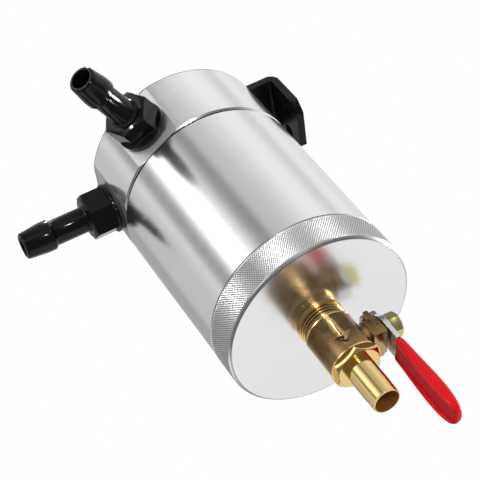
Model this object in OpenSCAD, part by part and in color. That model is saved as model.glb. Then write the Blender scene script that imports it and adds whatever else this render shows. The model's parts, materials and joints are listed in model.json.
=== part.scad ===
// Oil catch can with two hose tails, a hanging bracket and a ball valve drain.
// The flat base of the cup is at height 0 while the pieces are made, with the can's
// axis along Z. The finished part hangs from its bracket, so every piece is moved to
// put the middle of the bracket's two holes, on its outer face, at the origin.

/* [Can] */
// Outside diameter of the head and the cup
can_d = 70; // [66:1:78]
// Height of the cup from its flat base to its rim
cup_h = 79; // [72:1:100]
// Height of the head from the seam to its top
head_h = 28; // [26:1:32]
// Gap at the seam between the cup's rim and the head
seam_gap = 0.4; // [0.2:0.1:0.6]
// Wall of the cup
cup_wall = 3.5; // [3:0.25:4.5]
// Thickness of the cup's floor round the drain
floor_t = 8; // [6:0.5:12]
// Rise of the floor from the drain to the wall
floor_rise = 2.5; // [1:0.5:5]
// Chamfer on the rims of the head and the cup
rim_chamfer = 0.8; // [0.4:0.1:1.2]
// Height of the knurled grip band at the foot of the cup
grip_h = 12.6; // [8:0.2:20]
// Depth of the turned line above the grip band
grip_line = 0.3; // [0.2:0.1:0.5]

/* [Screwed joint of head and cup] */
// Length of the head's threaded spigot
spigot_l = 11; // [9:0.5:14]
// Wall of the spigot
spigot_wall = 3; // [2.5:0.25:4]
// Thickness of the sealing ring's section
ring_d = 1.7; // [1.4:0.1:2]

/* [Head] */
// Thickness of the head's roof
roof_t = 7.5; // [6.5:0.5:9]
// Diameter of the core that carries the filter
core_d = 26; // [24:1:30]
// Depth that each port's flat is milled into the head
flat_depth = 1.4; // [1:0.1:2]
// Depth of a port's centre below the head's top
port_drop = 15; // [13:0.5:16]
// Angle between the two ports
port_angle = 60; // [55:1:75]
// Diameter of the ports' threads
port_thread_d = 14; // [12:0.5:15]
// Depth of the ports' threads
port_thread_l = 8; // [6:0.5:9]

/* [Hose tails] */
// Size across the flats of the hexagon
hex_af = 16.4; // [15:0.2:16.4]
// Length of the hexagon
hex_l = 9.2; // [7:0.2:11]
// Diameter of the round flange under the hexagon
flange_d = 19; // [19:0.1:19.5]
// Thickness of that flange
flange_t = 1.5; // [1:0.1:2]
// Thickness of the sealing washer
washer_t = 1.2; // [0.8:0.1:1.6]
// Diameter of the tail's neck
neck_d = 9.7; // [9:0.1:10.2]
// Length of the neck
neck_l = 13.3; // [10:0.1:16]
// Greatest diameter of the barb
barb_d = 11.6; // [11:0.1:12.4]
// Diameter of the barb's nose
barb_nose_d = 10; // [9.4:0.1:10.6]
// Length of the barb
barb_l = 12; // [8:0.5:15]
// Length of the straight land at the barb's greatest diameter
barb_land = 3; // [2:0.25:5]
// Length of the slope from the neck up to the barb
barb_slope = 0.9; // [0.4:0.1:1.5]
// Bore of the hose tails
tail_bore_d = 7.5; // [6:0.1:8]
// Way that the inlet's hexagon is turned when it is tight
inlet_hex_turn = 24; // [0:1:60]
// Way that the outlet's hexagon is turned when it is tight
outlet_hex_turn = 50; // [0:1:60]

/* [Bracket] */
// Width of the bracket
bracket_w = 24; // [22:1:30]
// Thickness of its sheet
bracket_t = 3; // [2:0.25:4]
// Gap between the can's side and the upright leg
bracket_gap = 7.5; // [6:0.5:10]
// Height of the upright leg below the head's top
bracket_drop = 19; // [17:0.5:24]
// Distance between the two fixing holes
hole_pitch = 11; // [10:0.5:14]
// Diameter of the fixing holes
hole_d = 5.5; // [4.5:0.1:6]
// Depth of the fixing holes below the head's top
hole_drop = 11; // [9:0.5:13]
// Length of the level leg that lies on the head inside its edge
bracket_lap = 20; // [16:1:26]
// Distance between the two screws that hold the bracket to the head
screw_pitch = 12; // [10:0.5:14]
// Diameter of those screws
screw_d = 4; // [3:0.5:5]

/* [Filter and baffle] */
// Diameter of the hollow stem that carries the filter
core_stem_d = 9; // [8:0.5:10]
// Bore of that stem
core_bore_d = 5.5; // [4:0.5:6]
// Diameter of the filter element
element_d = 30; // [26:1:38]
// Height of the filter element
element_h = 26; // [20:1:30]
// Thickness of the filter's end discs
disc_t = 1.5; // [1:0.25:2.5]
// Height of the spacer between the filter and the baffle
spacer_h = 10; // [6:1:14]
// Thickness of the baffle plate
baffle_t = 1.5; // [1:0.25:2.5]
// Gap between the baffle's rim and the cup
baffle_gap = 0.8; // [0.5:0.1:2]
// Diameter of the holes in the baffle
baffle_hole_d = 3.4; // [2.4:0.2:4]
// Size across the flats of the nut under the baffle
core_nut_af = 14; // [13:0.5:16]

/* [Drain valve body] */
// Way that the valve's lever side faces, counted from the port side
valve_clock = 94; // [80:1:110]
// Diameter of the inlet thread
inlet_d = 16.6; // [15:0.1:17]
// Length of thread that shows below the cup
inlet_gap = 4.8; // [4:0.2:6]
// Diameter of the collar above the barrel
collar_d = 17.8; // [17:0.1:19]
// Height of that collar
collar_h = 1.3; // [1.2:0.1:2.5]
// Diameter of the cast barrel
barrel_d = 17.6; // [16.8:0.1:18]
// Height of the barrel
barrel_h = 16.3; // [15.8:0.1:19]
// Depth of the lever's stem below the top of the barrel
stem_drop = 8.05; // [7.8:0.05:9]
// Width and depth of the boss that holds the lever's stem
boss_w = 10.4; // [10:0.1:11]
// Reach of the boss from the valve's axis
boss_l = 14.2; // [13.5:0.1:16]
// Bore through the valve
flow_d = 5.8; // [4.5:0.1:6]
// Diameter of the ball
ball_d = 9.2; // [9:0.1:9.6]
// Reach of the square part of the boss inwards from its end
boss_block_l = 5; // [4.5:0.1:6]
// Overlap of the stop lugs and the lever's tab
lug_grip = 0.8; // [0.6:0.1:1.5]
// Length of the stop lugs along the boss
lug_l = 1.6; // [1.2:0.1:2.4]

/* [Drain valve tail] */
// Size across the flats of the tail's hexagon
tail_af = 16; // [15:0.1:16]
// Height of the tail's hexagon
tail_hex_h = 2.1; // [1.8:0.1:5]
// Diameter of the round flange above the tail's hexagon
tail_flange_d = 18.6; // [18.6:0.1:19.4]
// Thickness of that flange
tail_flange_t = 0.6; // [0.4:0.1:1]
// Outside diameter of the drain tube
drain_d = 10.4; // [9.5:0.1:11]
// Length of the drain tube
drain_l = 16.8; // [12:0.2:24]
// Wall of the drain tube
drain_wall = 0.8; // [0.6:0.1:2]

/* [Lever] */
// Thickness of the lever's sheet
lever_t = 1.8; // [1.5:0.1:2.2]
// Width of the lever
lever_w = 10.2; // [10:0.1:12]
// Reach of the lever from its stem to the end of its grip
lever_reach = 46; // [38:1:60]
// Distance from the stem to the start of the grip
grip_start = 9.6; // [9:0.2:14]
// Length of the stop tab inwards from the lever's sheet
tab_l = 4.1; // [3.8:0.1:5]
// Width of the stop tab
tab_w = 5.4; // [4.6:0.2:6.4]
// Diameter of the lever's stem
stem_d = 5.2; // [5:0.1:5.4]
// Width over the two flats of the stem
stem_flats = 4; // [3.6:0.1:4.4]
// Size across the flats of the lever nut
nut_af = 8; // [7.5:0.5:9]
// Height of the lever nut
nut_h = 3.8; // [3:0.1:5]
// Thickness of the vinyl on the grip
vinyl_t = 1; // [0.8:0.1:1.4]
// Depth of the grip from its back to its inner edges
grip_depth = 5; // [4.4:0.1:6]

/* [Clearances] */
// Radial clearance of the turning and threaded fits
fit = 0.08; // [0.03:0.01:0.1]
// Clearance of pieces that are pressed or moulded on
seat = 0.03; // [0.01:0.01:0.1]
// Gap between pieces that pass each other
pass_gap = 0.4; // [0.3:0.05:0.6]
// Gap between the boss and the lever
lever_gap = 0.8; // [0.4:0.1:1]

/* [Hidden] */
$fn = 96;
eps = 0.01;

// Can, from the base up
can_r = can_d / 2;
cup_r = can_r - cup_wall;
seam_z = cup_h + seam_gap;
top_z = seam_z + head_h;
spigot_r = cup_r - fit;
spigot_z = seam_z - spigot_l;
ring_groove_r = spigot_r + ring_d + 2 * seat;
ring_groove_depth = ring_d + 2 * seat - seam_gap;
spigot_edge = 0.8;
floor_slope = 2;

// Ports
port_z = top_z - port_drop;
flat_r = can_r - flat_depth;
outlet_turn = -90;
inlet_turn = outlet_turn + port_angle;
thread_r = port_thread_d / 2;
duct_d = tail_bore_d;
core_r = core_d / 2;
pocket_top = top_z - roof_t;
core_cover = 4;
core_face_z = port_z - duct_d / 2 - core_cover;
duct_rib = 2.5;
port_wall = 1.5;
fitting_z = flat_r + washer_t;
neck_z = fitting_z + flange_t + hex_l;
barb_z = neck_z + neck_l;
tip_z = barb_z + barb_l;
nose_edge = 0.5;
flange_edge = 0.3;
neck_fillet = 1;
washer_inset = 0.6;
tail_end_share = 0.44;
tail_end_slope = 0.45;

// Bracket
bracket_y = can_r + bracket_gap;
mount_y = bracket_y + bracket_t;
mount_z = top_z - hole_drop;
bracket_top = top_z + bracket_t;
bracket_corner = 4;
screw_inset = 8;
screw_y = can_r - bracket_lap + screw_inset;
screw_cover = 2;
screw_tip_z = top_z - roof_t + screw_cover;
screw_hole_gap = 0.2;
screw_head_d = 1.8 * screw_d;
screw_head_h = 0.6 * screw_d;

// Filter stack, hung under the head's core
stem_in_core = 7;
stem_top = core_face_z + stem_in_core;
top_disc_z = core_face_z - disc_t;
element_z = top_disc_z - element_h;
bottom_disc_z = element_z - disc_t;
spacer_z = bottom_disc_z - spacer_h;
baffle_z = spacer_z - baffle_t;
core_nut_h = 5;
core_nut_z = baffle_z - core_nut_h;
stem_below_nut = 2;
stem_bottom = core_nut_z - stem_below_nut;
stem_hole_d = 2.6;
disc_rim = 1;
pleat_depth = 2.4;
spacer_wall = 2;

// Valve, below the base
shoulder_h = 0.9;
thread_depth = 0.7;
thread_pitch = 1.3;
thread_rings = round((inlet_gap - shoulder_h) / thread_pitch);
inlet_end = 0.5;
inlet_chamfer = 1;
collar_edge = 0.4;
seat_cover = 0.1;
tail_wall = 1.8;
tail_mouth = 0.4;
collar_z = -inlet_gap - collar_h;
barrel_z = collar_z - barrel_h;
stem_z = collar_z - stem_drop;
ball_r = ball_d / 2;
cavity_r = ball_r + pass_gap;
seat_reach = ball_r + seat_cover;
seat_start = stem_d / 2 + pass_gap;
tail_thread_r = barrel_d / 2 - tail_wall;
tail_flange_z = barrel_z - tail_flange_t;
tail_z = tail_flange_z - tail_hex_h;
drain_z = tail_z - drain_l;
boss_r = boss_w / 2;
boss_root_step = 0.4;
lug_inset = 1;
stem_collar_r = stem_d / 2 + 0.8;
stem_collar_s = ball_r + 0.5;
stem_collar_l = 1.4;
nose_start = stem_collar_r + 0.3;
tongue_w = 4.4;
tongue_t = 2;
tongue_depth = 1.3;
seal_w = 1.2;
seal_s = boss_l - 4.2;

// Lever, measured along the stem from the valve's axis
web_s = boss_l + lever_gap;
web_top_s = web_s + lever_t;
washer_s = web_top_s + seat;
lever_washer_t = 0.9;
nut_s = washer_s + lever_washer_t + seat;
stem_below_top = 0.3;
stem_end_s = nut_s + nut_h - stem_below_top;
tab_r = boss_r + pass_gap / 2;
fold_r = 0.8;
grip_swell = 0.3;
grip_half = lever_w / 2 + grip_swell;
grip_back_s = web_top_s + vinyl_t + 0.5;
grip_inner_s = grip_back_s - grip_depth;
grip_lip = 1.4;
grip_crown_r = 14;
grip_y = -grip_start;
grip_end_y = -lever_reach;
arm_w = lever_w - 2 * vinyl_t - 0.4;
arm_end_y = grip_end_y + vinyl_t + 1 + arm_w / 2;

// Moves a piece from the making place to the part's frame
module placed() {
    translate([0, -mount_y, -mount_z]) children();
}

// Turned shape with its axis along Z, from radius and height pairs
module turned(points) {
    rotate_extrude() polygon(points);
}

// Plain ring
module ring(r_out, r_in, h) {
    difference() {
        cylinder(r = r_out, h = h);
        translate([0, 0, -eps]) cylinder(r = r_in, h = h + 2 * eps);
    }
}

// Hexagon bar whose outer end is turned down at its corners
module chamfered_hex(af, h, turn = 0, end_share = 0.485, slope = 0.6) {
    corner = af / sqrt(3);
    rim = end_share * af;
    past = corner + 1;
    intersection() {
        rotate([0, 0, turn]) cylinder(r = corner, h = h, $fn = 6);
        turned([[0, 0], [past, 0], [past, h - (past - rim) * slope], [rim, h], [0, h]]);
    }
}

// Puts a shape that points along Z at a port, pointing outwards
module at_port(turn) {
    rotate([0, 0, turn]) translate([0, 0, port_z]) rotate([0, 90, 0]) children();
}

// Puts a shape made with Z out along the stem and Y up at the lever's stem
module at_stem() {
    rotate([0, 0, valve_clock]) translate([0, 0, stem_z])
        rotate([90, 0, 90]) children();
}

// Flat milled on the head's side for a port
module port_flat(turn) {
    rotate([0, 0, turn])
        translate([flat_r, -can_r, seam_z - eps])
            cube([can_r, can_d, head_h + 2 * eps]);
}

// Threaded port with a duct that runs inwards to a given radius
module port_bore(turn, inner_r) {
    at_port(turn) {
        translate([0, 0, flat_r - port_thread_l - 1])
            cylinder(r = thread_r + fit, h = port_thread_l + 2 + flat_depth);
        translate([0, 0, inner_r]) cylinder(d = duct_d, h = flat_r - inner_r);
    }
}

// Head: billet cap with a spigot, a pocket for the incoming gas and a core for the filter
module head() {
    color([0.80, 0.80, 0.81]) placed() difference() {
        union() {
            difference() {
                translate([0, 0, seam_z]) turned([
                    [0, 0], [can_r - rim_chamfer, 0], [can_r, rim_chamfer],
                    [can_r, head_h - rim_chamfer], [can_r - rim_chamfer, head_h], [0, head_h]
                ]);
                port_flat(inlet_turn);
                port_flat(outlet_turn);
            }
            translate([0, 0, spigot_z]) turned([
                [0, 0], [spigot_r - spigot_edge, 0], [spigot_r, spigot_edge],
                [spigot_r, spigot_l + eps], [0, spigot_l + eps]
            ]);
        }
        gas_pocket();
        port_bore(inlet_turn, core_r + 2);
        port_bore(outlet_turn, 0);
        translate([0, 0, core_face_z - eps])
            cylinder(d = core_stem_d + 2 * fit, h = port_z - core_face_z + duct_d / 4);
        for (x = [-1, 1] * screw_pitch / 2)
            translate([x, screw_y, screw_tip_z - screw_cover / 2])
                cylinder(d = screw_d + 2 * seat, h = roof_t);
    }
}

// Pocket in the head's underside: open below the core, and round the core above it
module gas_pocket() {
    pocket_r = spigot_r - spigot_wall;
    translate([0, 0, spigot_z - eps])
        cylinder(r = pocket_r, h = core_face_z - spigot_z + eps);
    difference() {
        translate([0, 0, core_face_z - eps])
            cylinder(
                r = min(pocket_r, flat_r - port_thread_l - port_wall), h = pocket_top - core_face_z
            );
        translate([0, 0, core_face_z - 1]) cylinder(r = core_r, h = head_h);
        rotate([0, 0, outlet_turn])
            translate([0, -duct_d / 2 - duct_rib, core_face_z - 1])
                cube([can_r, duct_d + 2 * duct_rib, head_h]);
    }
}

// Cup: one turned piece with a sloping floor, a grip band and a groove for the sealing ring
module cup() {
    color([0.80, 0.80, 0.81]) placed() difference() {
        turned([
            [0, 0], [can_r - rim_chamfer, 0], [can_r, rim_chamfer],
            [can_r, grip_h], [can_r - grip_line, grip_h + grip_line],
            [can_r, grip_h + 2 * grip_line],
            [can_r, cup_h - rim_chamfer], [can_r - rim_chamfer, cup_h],
            [ring_groove_r, cup_h], [ring_groove_r, cup_h - ring_groove_depth],
            [cup_r, cup_h - ring_groove_depth], [cup_r, floor_t + floor_rise + floor_slope],
            [cup_r - floor_slope, floor_t + floor_rise], [inlet_d / 2 + floor_slope, floor_t],
            [0, floor_t]
        ]);
        translate([0, 0, -eps]) cylinder(d = inlet_d + 2 * fit, h = floor_t + 1);
    }
}

// Rubber ring in the groove of the cup's rim
module cup_seal() {
    color([0.06, 0.06, 0.06]) placed()
        translate([0, 0, cup_h - ring_groove_depth + seat + ring_d / 2])
            rotate_extrude() translate([spigot_r + seat + ring_d / 2, 0])
                circle(d = ring_d, $fn = 32);
}

// Hose tail: thread, flange, hexagon, neck and one barb, bored right through
module hose_tail(turn, hex_turn) {
    neck_r = neck_d / 2;
    color([0.04, 0.04, 0.045]) placed() at_port(turn) difference() {
        union() {
            translate([0, 0, flat_r - port_thread_l])
                cylinder(r = thread_r, h = port_thread_l + washer_t + eps);
            translate([0, 0, fitting_z]) turned([
                [0, 0], [flange_d / 2 - flange_edge, 0], [flange_d / 2, flange_edge],
                [flange_d / 2, flange_t - flange_edge], [flange_d / 2 - flange_edge, flange_t],
                [0, flange_t]
            ]);
            translate([0, 0, fitting_z + flange_t - eps])
                chamfered_hex(hex_af, hex_l + eps, hex_turn, tail_end_share, tail_end_slope);
            translate([0, 0, neck_z - eps]) turned([
                [0, 0], [neck_r + neck_fillet, 0], [neck_r + 0.3 * neck_fillet, 0.4 * neck_fillet],
                [neck_r, 1.2 * neck_fillet], [neck_r, neck_l], [barb_d / 2, neck_l + barb_slope],
                [barb_d / 2, neck_l + barb_slope + barb_land],
                [barb_nose_d / 2, neck_l + barb_l - nose_edge],
                [barb_nose_d / 2 - nose_edge, neck_l + barb_l], [0, neck_l + barb_l]
            ]);
        }
        translate([0, 0, flat_r - port_thread_l - 1])
            cylinder(d = tail_bore_d, h = tip_z - flat_r + port_thread_l + 2);
    }
}
module inlet_fitting() {
    hose_tail(inlet_turn, inlet_hex_turn);
}
module outlet_fitting() {
    hose_tail(outlet_turn, outlet_hex_turn);
}

// Sealing washer between a hose tail and its flat
module tail_washer(turn) {
    color([0.05, 0.05, 0.05]) placed() at_port(turn)
        translate([0, 0, flat_r + seat])
            ring(flange_d / 2 - washer_inset, thread_r + fit, washer_t - 2 * seat);
}
module inlet_washer() {
    tail_washer(inlet_turn);
}
module outlet_washer() {
    tail_washer(outlet_turn);
}

// Bracket: one folded sheet, level on the head's top and then down behind it
module bracket() {
    bend = bracket_t + 1;
    low_z = top_z - bracket_drop;
    color([0.05, 0.05, 0.055]) placed() difference() {
        intersection() {
            translate([-bracket_w / 2, 0, 0]) rotate([90, 0, 90]) linear_extrude(bracket_w)
                difference() {
                    bracket_side(can_r - bracket_lap, mount_y, bend);
                    translate([0, -bracket_t]) bracket_side(0, bracket_y, bend - bracket_t);
                }
            union() {
                translate([-bracket_w / 2, 0, top_z - 1]) cube([bracket_w, mount_y + 1, bend + 1]);
                translate([0, mount_y + 1, 0]) rotate([90, 0, 0])
                    linear_extrude(bracket_t + bend + 2) polygon([
                        [-bracket_w / 2, top_z], [bracket_w / 2, top_z],
                        [bracket_w / 2, low_z + bracket_corner],
                        [bracket_w / 2 - bracket_corner, low_z],
                        [-bracket_w / 2 + bracket_corner, low_z],
                        [-bracket_w / 2, low_z + bracket_corner]
                    ]);
            }
        }
        for (x = [-1, 1] * hole_pitch / 2)
            translate([x, mount_y + 1, mount_z]) rotate([90, 0, 0])
                cylinder(d = hole_d, h = bracket_t + 2);
        for (x = [-1, 1] * screw_pitch / 2)
            translate([x, screw_y, top_z - 1])
                cylinder(d = screw_d + 2 * screw_hole_gap, h = bracket_t + 2);
    }
}

// Side view of the bracket's outer or inner line, with Y across and Z up
module bracket_side(y0, y1, bend) {
    z0 = top_z - bracket_drop;
    translate([y0, z0]) square([y1 - y0 - bend, bracket_top - z0]);
    translate([y0, z0]) square([y1 - y0, bracket_top - z0 - bend]);
    translate([y1 - bend, bracket_top - bend]) circle(r = bend, $fn = 64);
}

// Two button head screws that hold the bracket to the head
module bracket_screws() {
    color([0.12, 0.12, 0.12]) placed()
        for (x = [-1, 1] * screw_pitch / 2) translate([x, screw_y, 0]) difference() {
            union() {
                translate([0, 0, screw_tip_z])
                    cylinder(d = screw_d, h = bracket_top - screw_tip_z + eps);
                translate([0, 0, bracket_top]) turned([
                    [0, 0], [screw_head_d / 2, 0], [screw_head_d / 2, 0.25 * screw_head_h],
                    [screw_head_d / 2 - 0.5 * screw_head_h, screw_head_h], [0, screw_head_h]
                ]);
            }
            translate([0, 0, bracket_top + 0.3 * screw_head_h])
                cylinder(d = 0.7 * screw_d, h = screw_head_h, $fn = 6);
        }
}

// Hollow stem that carries the filter and the baffle and leads the clean gas up
module filter_stem() {
    color([0.72, 0.72, 0.70]) placed() difference() {
        translate([0, 0, stem_bottom]) cylinder(d = core_stem_d, h = stem_top - stem_bottom);
        translate([0, 0, element_z]) cylinder(d = core_bore_d, h = stem_top - element_z + 1);
        for (level = [1 : 4], turn = [0, 90])
            translate([0, 0, element_z + level * element_h / 5]) rotate([90, 0, turn + 45 * level])
                translate([0, 0, -core_stem_d])
                    cylinder(d = stem_hole_d, h = 2 * core_stem_d, $fn = 32);
    }
}

// End disc of the filter
module end_disc(z) {
    translate([0, 0, z]) ring(element_d / 2 + disc_rim, core_stem_d / 2 + fit, disc_t - seat);
}
module filter_top_disc() {
    color([0.70, 0.70, 0.72]) placed() end_disc(top_disc_z);
}
module filter_bottom_disc() {
    color([0.70, 0.70, 0.72]) placed() end_disc(bottom_disc_z);
}

// Pleated filter element
module filter_element() {
    pleats = 24;
    color([0.86, 0.84, 0.76]) placed() translate([0, 0, element_z]) difference() {
        linear_extrude(element_h - seat) polygon([
            for (i = [0 : 2 * pleats - 1])
                let (r = element_d / 2 - (i % 2) * pleat_depth, a = 180 * i / pleats)
                    [r * cos(a), r * sin(a)]
        ]);
        translate([0, 0, -eps]) cylinder(r = core_stem_d / 2 + fit, h = element_h + 1);
    }
}

// Tube that holds the baffle away from the filter
module baffle_spacer() {
    color([0.72, 0.72, 0.70]) placed() translate([0, 0, spacer_z])
        ring(core_stem_d / 2 + spacer_wall, core_stem_d / 2 + fit, spacer_h - seat);
}

// Baffle: punched plate that keeps the collected oil from splashing up
module baffle_plate() {
    plate_r = cup_r - baffle_gap;
    inner_r = core_nut_af / sqrt(3) + baffle_hole_d / 2 + 1;
    rows = 3;
    step = (plate_r - 2 - baffle_hole_d / 2 - inner_r) / (rows - 1);
    color([0.74, 0.74, 0.76]) placed() translate([0, 0, baffle_z]) difference() {
        cylinder(r = plate_r, h = baffle_t - seat);
        translate([0, 0, -1]) cylinder(r = core_stem_d / 2 + fit, h = baffle_t + 2);
        for (row = [0 : rows - 1], i = [0 : 6 * (row + 2) - 1])
            rotate([0, 0, i * 60 / (row + 2)]) translate([inner_r + row * step, 0, -1])
                cylinder(d = baffle_hole_d, h = baffle_t + 2, $fn = 32);
    }
}

// Nut that clamps the whole stack
module baffle_nut() {
    color([0.72, 0.72, 0.70]) placed() translate([0, 0, core_nut_z]) difference() {
        chamfered_hex(core_nut_af, core_nut_h - seat);
        translate([0, 0, -1]) cylinder(r = core_stem_d / 2 + seat, h = core_nut_h + 2);
    }
}

// Valve body: shoulder and thread, collar, cast barrel and the boss for the lever's stem
module valve_body() {
    inlet_r = inlet_d / 2;
    root_r = inlet_r - thread_depth;
    shoulder_r = collar_d / 2;
    thread_z = collar_z + collar_h;
    pitch = (inlet_gap - shoulder_h) / thread_rings;
    crest = [[0, 0.1], [0.7, 0.28], [1, 0.45], [1, 0.6], [0.7, 0.78], [0, 0.95]];
    color([0.62, 0.47, 0.24]) placed() difference() {
        union() {
            turned(concat(
                [[0, thread_z], [root_r, thread_z]],
                [for (i = [0 : thread_rings - 1]) for (p = crest)
                    [root_r + p[0] * thread_depth, thread_z + (i + p[1]) * pitch]],
                [[shoulder_r, -shoulder_h], [shoulder_r, 0], [inlet_r, 0],
                 [inlet_r, floor_t - inlet_end - inlet_chamfer],
                 [inlet_r - inlet_chamfer, floor_t - inlet_end], [0, floor_t - inlet_end]]
            ));
            translate([0, 0, collar_z]) turned([
                [0, 0], [barrel_d / 2, 0], [collar_d / 2, collar_edge],
                [collar_d / 2, collar_h - collar_edge], [collar_d / 2 - collar_edge, collar_h],
                [0, collar_h]
            ]);
            translate([0, 0, barrel_z]) cylinder(d = barrel_d, h = barrel_h + eps);
            valve_boss();
        }
        translate([0, 0, barrel_z - 1]) cylinder(d = flow_d, h = floor_t - barrel_z + 2);
        translate([0, 0, barrel_z - 1])
            cylinder(r = cavity_r, h = stem_z + seat_reach - barrel_z + 1);
        translate([0, 0, barrel_z - 1])
            cylinder(r = tail_thread_r, h = stem_z - seat_start - barrel_z + 1);
        at_stem() {
            cylinder(r = stem_d / 2 + fit, h = boss_l + 1);
            cylinder(r = stem_collar_r + fit, h = stem_collar_s + stem_collar_l + fit);
        }
    }
}

// Boss: round root, square-bottomed end and the two lugs that stop the lever's tab
module valve_boss() {
    block_s = boss_l - boss_block_l;
    lug_s = boss_l - lug_inset - lug_l;
    lug_side = tab_w / 2 + fit;
    at_stem() difference() {
        union() {
            cylinder(r = boss_r - boss_root_step, h = boss_l - eps);
            translate([0, 0, block_s]) cylinder(r = boss_r, h = boss_block_l);
            translate([-boss_r, -boss_r, block_s]) cube([boss_w, boss_r, boss_block_l]);
            translate([-boss_r, 0, lug_s]) cube([boss_r - lug_side, tab_r + lug_grip, lug_l]);
            translate([0, -boss_r, lug_s]) cube([tab_r + lug_grip, boss_r - lug_side, lug_l]);
        }
        translate([-boss_w, -boss_w, -eps]) cube([2 * boss_w, 2 * boss_w, cavity_r]);
    }
}

// Valve tail: screwed nose, flange, low hexagon and the plain drain tube
module valve_tail() {
    nose_top = stem_z - nose_start;
    tube_r = drain_d / 2;
    color([0.86, 0.70, 0.36]) placed() difference() {
        union() {
            translate([0, 0, tail_flange_z])
                cylinder(r = tail_thread_r - fit, h = nose_top - tail_flange_z);
            translate([0, 0, tail_flange_z])
                cylinder(d = tail_flange_d, h = tail_flange_t - seat);
            translate([0, 0, tail_flange_z + eps]) mirror([0, 0, 1])
                chamfered_hex(tail_af, tail_hex_h + eps, valve_clock + 24);
            translate([0, 0, drain_z]) turned([
                [0, 0], [tube_r - tail_mouth, 0], [tube_r - tail_mouth / 2, tail_mouth],
                [tube_r, drain_l * 0.4], [tube_r, drain_l + eps], [0, drain_l + eps]
            ]);
        }
        translate([0, 0, drain_z - 1]) cylinder(r = tube_r - drain_wall, h = drain_l + 1);
        translate([0, 0, tail_z - 1]) cylinder(d = flow_d, h = nose_top - tail_z + 2);
        translate([0, 0, stem_z - seat_reach - seat])
            cylinder(r = cavity_r, h = seat_reach);
    }
}

// Ball with its bore along the valve and a slot for the stem's tongue
module valve_ball() {
    color([0.85, 0.85, 0.86]) placed() translate([0, 0, stem_z]) difference() {
        sphere(r = ball_r);
        translate([0, 0, -ball_r]) cylinder(d = flow_d, h = ball_d);
        rotate([0, 0, valve_clock])
            translate([ball_r - tongue_depth - fit, -ball_r, -tongue_t / 2 - fit])
                cube([ball_r, ball_d, tongue_t + 2 * fit]);
    }
}

// Soft seat of the ball
module ball_seat(side) {
    height = seat_reach - seat_start - seat;
    low = side > 0 ? seat_start : -seat_start - height;
    color([0.93, 0.93, 0.90]) placed() translate([0, 0, stem_z]) difference() {
        translate([0, 0, low]) cylinder(r = cavity_r - seat, h = height);
        cylinder(d = flow_d, h = 4 * ball_r, center = true);
        sphere(r = ball_r + seat);
    }
}
module upper_ball_seat() {
    ball_seat(1);
}
module lower_ball_seat() {
    ball_seat(-1);
}

// Stem: tongue, collar, shaft with a seal groove, two flats and a thread
module valve_stem() {
    stem_r = stem_d / 2;
    flat_cut = stem_r - stem_flats / 2 + 1;
    color([0.78, 0.63, 0.33]) placed() at_stem() difference() {
        union() {
            translate([-tongue_w / 2, -tongue_t / 2, ball_r - tongue_depth])
                cube([tongue_w, tongue_t, stem_collar_s - ball_r + tongue_depth + eps]);
            translate([0, 0, stem_collar_s]) cylinder(r = stem_collar_r, h = stem_collar_l);
            translate([0, 0, stem_collar_s])
                cylinder(r = stem_r, h = stem_end_s - stem_collar_s);
        }
        translate([0, 0, seal_s]) ring(stem_r + 1, stem_r - seal_w, seal_w + 2 * fit);
        for (side = [0, 180]) rotate([0, 0, side])
            translate([stem_flats / 2, -stem_r, web_s - fit])
                cube([flat_cut, stem_d, lever_t + fit]);
    }
}

// Rubber ring in the stem's groove
module stem_seal() {
    section = seal_w - seat;
    color([0.06, 0.06, 0.06]) placed() at_stem()
        translate([0, 0, seal_s + seal_w / 2 + fit])
            rotate_extrude() translate([stem_d / 2 - seal_w + seat + section / 2, 0])
                circle(d = section, $fn = 24);
}

// Lever: flat sheet with its stop tab folded in over the boss
module lever() {
    tab_top = tab_r + lever_t;
    color([0.66, 0.67, 0.68]) placed() at_stem() difference() {
        union() {
            translate([0, 0, web_s]) linear_extrude(lever_t) difference() {
                union() {
                    hull() {
                        circle(d = lever_w, $fn = 64);
                        translate([-tab_w / 2, 0]) square([tab_w, tab_r]);
                    }
                    translate([-tab_w / 2, 0]) square([tab_w, tab_top]);
                    translate([-lever_w / 2, grip_y]) square([lever_w, grip_start]);
                    translate([-arm_w / 2, arm_end_y]) square([arm_w, -arm_end_y]);
                    translate([0, arm_end_y]) circle(d = arm_w, $fn = 64);
                }
                intersection() {
                    circle(r = stem_d / 2 + seat);
                    square([stem_flats + 2 * seat, stem_d + 1], center = true);
                }
            }
            translate([-tab_w / 2, tab_r, web_s - tab_l])
                cube([tab_w, lever_t, tab_l + lever_t]);
        }
        translate([-tab_w, tab_top - fold_r, web_top_s - fold_r]) difference() {
            cube([2 * tab_w, 2 * fold_r, 2 * fold_r]);
            rotate([0, 90, 0]) cylinder(r = fold_r, h = 2 * tab_w, $fn = 32);
        }
    }
}

// Vinyl grip: crowned back, edges folded in along the sides, round end
module lever_grip() {
    color([0.80, 0.04, 0.05]) placed() at_stem() difference() {
        intersection() {
            translate([0, grip_y, 0]) rotate([90, 0, 0])
                linear_extrude(lever_reach - grip_start) grip_section();
            translate([0, 0, grip_inner_s - 1]) linear_extrude(grip_depth + 2) {
                translate([-grip_half, grip_end_y + grip_half])
                    square([2 * grip_half, lever_reach]);
                translate([0, grip_end_y + grip_half]) circle(r = grip_half, $fn = 64);
            }
            translate([-grip_half - 1, 0, 0]) rotate([90, 0, 90])
                linear_extrude(2 * grip_half + 2) grip_side();
        }
        translate([-arm_w / 2 - seat, arm_end_y, web_s - seat])
            cube([arm_w + 2 * seat, lever_reach, lever_t + 2 * seat]);
        translate([0, arm_end_y, web_s - seat])
            cylinder(d = arm_w + 2 * seat, h = lever_t + 2 * seat, $fn = 64);
    }
}

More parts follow.
